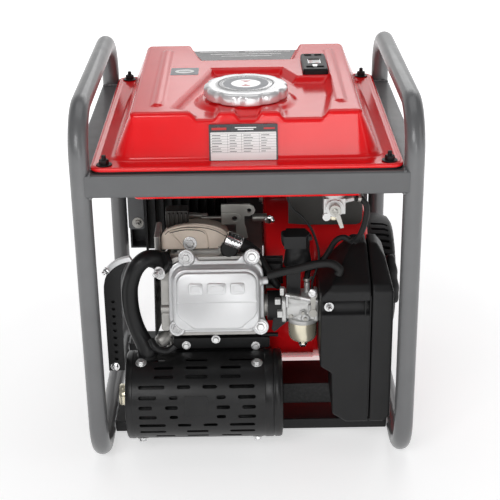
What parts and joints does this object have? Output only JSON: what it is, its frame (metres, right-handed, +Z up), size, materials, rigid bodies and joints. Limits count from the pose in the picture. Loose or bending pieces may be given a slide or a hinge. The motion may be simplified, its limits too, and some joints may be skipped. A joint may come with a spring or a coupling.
{
  "type": "inverter generator",
  "caption": "Open-frame petrol inverter generator: tube loops, pressed fuel tank, single-cylinder engine, wrapped muffler, air cleaner, recoil starter and rear control panel.",
  "frame": {"origin": "on the ground, under the middle of the tube frame", "axes": "+Z up, +X towards the recoil starter, -Y towards the valve cover (service side), +Y towards the control panel"},
  "size_m": [0.38, 0.374, 0.449],
  "materials": {
    "painted_grey": "semi-gloss grey paint",
    "painted_red": "gloss red paint",
    "black_steel": "satin black heat-proof paint",
    "black_plastic": "fine-grained moulded plastic",
    "rubber": "matt",
    "cast_aluminium": "sand cast, matt",
    "bright_aluminium": "die cast, bright",
    "chrome": "polished",
    "steel": "plain",
    "winding_copper": "lacquered copper windings on a steel core",
    "filter_foam": "open foam",
    "white_plastic": "plain"
  },
  "bodies": {
    "frame_and_engine": {"left_frame_loop": "painted_grey", "right_frame_loop": "painted_grey", "front_crossbar": "painted_grey", "rear_crossbar": "painted_grey", "left_side_rail": "painted_grey", "right_side_rail": "painted_grey", "front_base_rail": "black_steel", "rear_base_rail": "black_steel", "engine_cradle": "black_steel", "rubber_mount_front_left": "rubber", "rubber_mount_front_right": "rubber", "rubber_mount_rear_left": "rubber", "rubber_mount_rear_right": "rubber", "fuel_tank": "painted_red", "fuel_gauge": "black_plastic", "fuel_tap": "bright_aluminium", "fuel_hose": "rubber", "crankcase": "cast_aluminium", "crankcase_cover": "cast_aluminium", "lifting_bracket": "steel", "cylinder_head": "cast_aluminium", "valve_cover": "bright_aluminium", "cylinder_air_guide": "cast_aluminium", "spark_plug": "chrome", "stator": "winding_copper", "fan_shroud": "painted_red", "recoil_cover": "black_plastic", "ignition_coil": "black_plastic", "carburettor": "bright_aluminium", "float_bowl": "bright_aluminium", "throttle_motor": "black_plastic", "throttle_cable": "rubber", "breather_hose": "rubber", "air_cleaner_case": "black_plastic", "air_filter_element": "filter_foam", "ignition_lead": "rubber", "muffler": "black_steel", "muffler_shield": "black_steel", "exhaust_pipe": "black_steel", "exhaust_guard": "black_steel", "control_panel": "black_plastic", "inverter_module": "black_steel", "mains_socket": "black_plastic"},
    "filler_cap": {"fuel_cap": "chrome"},
    "level_sender": {"fuel_float": "white_plastic"},
    "tap_lever": {"fuel_tap_lever": "steel"},
    "crank_and_rotor": {"crankshaft": "steel", "rotor_and_fan": "cast_aluminium"},
    "piston_and_rod": {"piston": "bright_aluminium", "connecting_rod": "steel"},
    "starter_pulley": {"recoil_pulley": "black_plastic", "recoil_rope": "rubber"},
    "starter_handle": {"recoil_handle": "black_plastic"},
    "choke": {"choke_lever": "steel"},
    "air_cover": {"air_cleaner_cover": "black_plastic"},
    "dipstick": {"oil_dipstick": "black_plastic"},
    "engine_rocker": {"engine_switch": "black_plastic"},
    "eco_rocker": {"eco_switch": "black_plastic"},
    "breaker": {"breaker_button": "white_plastic"},
    "ground_nut": {"ground_terminal_nut": "steel"}
  },
  "joints": [
    {"name": "fuel_cap_turn", "type": "hinge", "parent": "frame_and_engine", "child": "filler_cap", "pos_m": [0.0005, -0.08, 0.43], "axis": [0, 0, 1], "range_deg": [0, 120]},
    {"name": "float_swing", "type": "hinge", "parent": "frame_and_engine", "child": "level_sender", "pos_m": [0.083, 0.032, 0.414], "axis": [-1, 0, 0], "range_deg": [0, 24]},
    {"name": "tap_turn", "type": "hinge", "parent": "frame_and_engine", "child": "tap_lever", "pos_m": [0.097, -0.1453, 0.317], "axis": [0, -1, 0], "range_deg": [0, 90]},
    {"name": "crank_turn", "type": "hinge", "parent": "frame_and_engine", "child": "crank_and_rotor", "pos_m": [-0.039, 0.046, 0.15], "axis": [1, 0, 0], "continuous": true},
    {"name": "piston_slide", "type": "slide", "parent": "frame_and_engine", "child": "piston_and_rod", "axis": [0, -0.9563, 0.2924], "range_m": [0, 0.055]},
    {"name": "handle_pull", "type": "slide", "parent": "frame_and_engine", "child": "starter_handle", "axis": [0.3015, -0.9045, 0.3015], "range_m": [0, 0.7], "stiffness_N_per_m": 12, "springref_m": -0.25},
    {"name": "pulley_turn", "type": "hinge", "parent": "frame_and_engine", "child": "starter_pulley", "pos_m": [0.16, 0.046, 0.15], "axis": [1, 0, 0], "range_deg": [-5, 1200]},
    {"name": "choke_turn", "type": "hinge", "parent": "frame_and_engine", "child": "choke", "pos_m": [0.074, -0.1393, 0.186], "axis": [0, -1, 0], "range_deg": [0, 55]},
    {"name": "air_cover_tilt", "type": "hinge", "parent": "frame_and_engine", "child": "air_cover", "pos_m": [0.1393, -0.118, 0.053], "axis": [0, 1, 0], "range_deg": [0, 20]},
    {"name": "dipstick_turn", "type": "hinge", "parent": "frame_and_engine", "child": "dipstick", "pos_m": [-0.069, 0.122, 0.096], "axis": [0, 0.9363, 0.3511], "range_deg": [0, 720]},
    {"name": "engine_switch_rock", "type": "hinge", "parent": "frame_and_engine", "child": "engine_rocker", "pos_m": [0.11, 0.183, 0.29], "axis": [1, 0, 0], "range_deg": [0, 18]},
    {"name": "eco_switch_rock", "type": "hinge", "parent": "frame_and_engine", "child": "eco_rocker", "pos_m": [0.07, 0.183, 0.29], "axis": [1, 0, 0], "range_deg": [0, 18]},
    {"name": "breaker_press", "type": "slide", "parent": "frame_and_engine", "child": "breaker", "axis": [0, -1, 0], "range_m": [0, 0.0015], "stiffness_N_per_m": 900, "springref_m": -0.001},
    {"name": "ground_nut_turn", "type": "hinge", "parent": "frame_and_engine", "child": "ground_nut", "pos_m": [0.12, 0.1845, 0.175], "axis": [0, 1, 0], "range_deg": [0, 720]}
  ],
  "couplings": [
    {"joint": "pulley_turn", "follows": "handle_pull", "rad_per_m": 27.778}
  ]
}
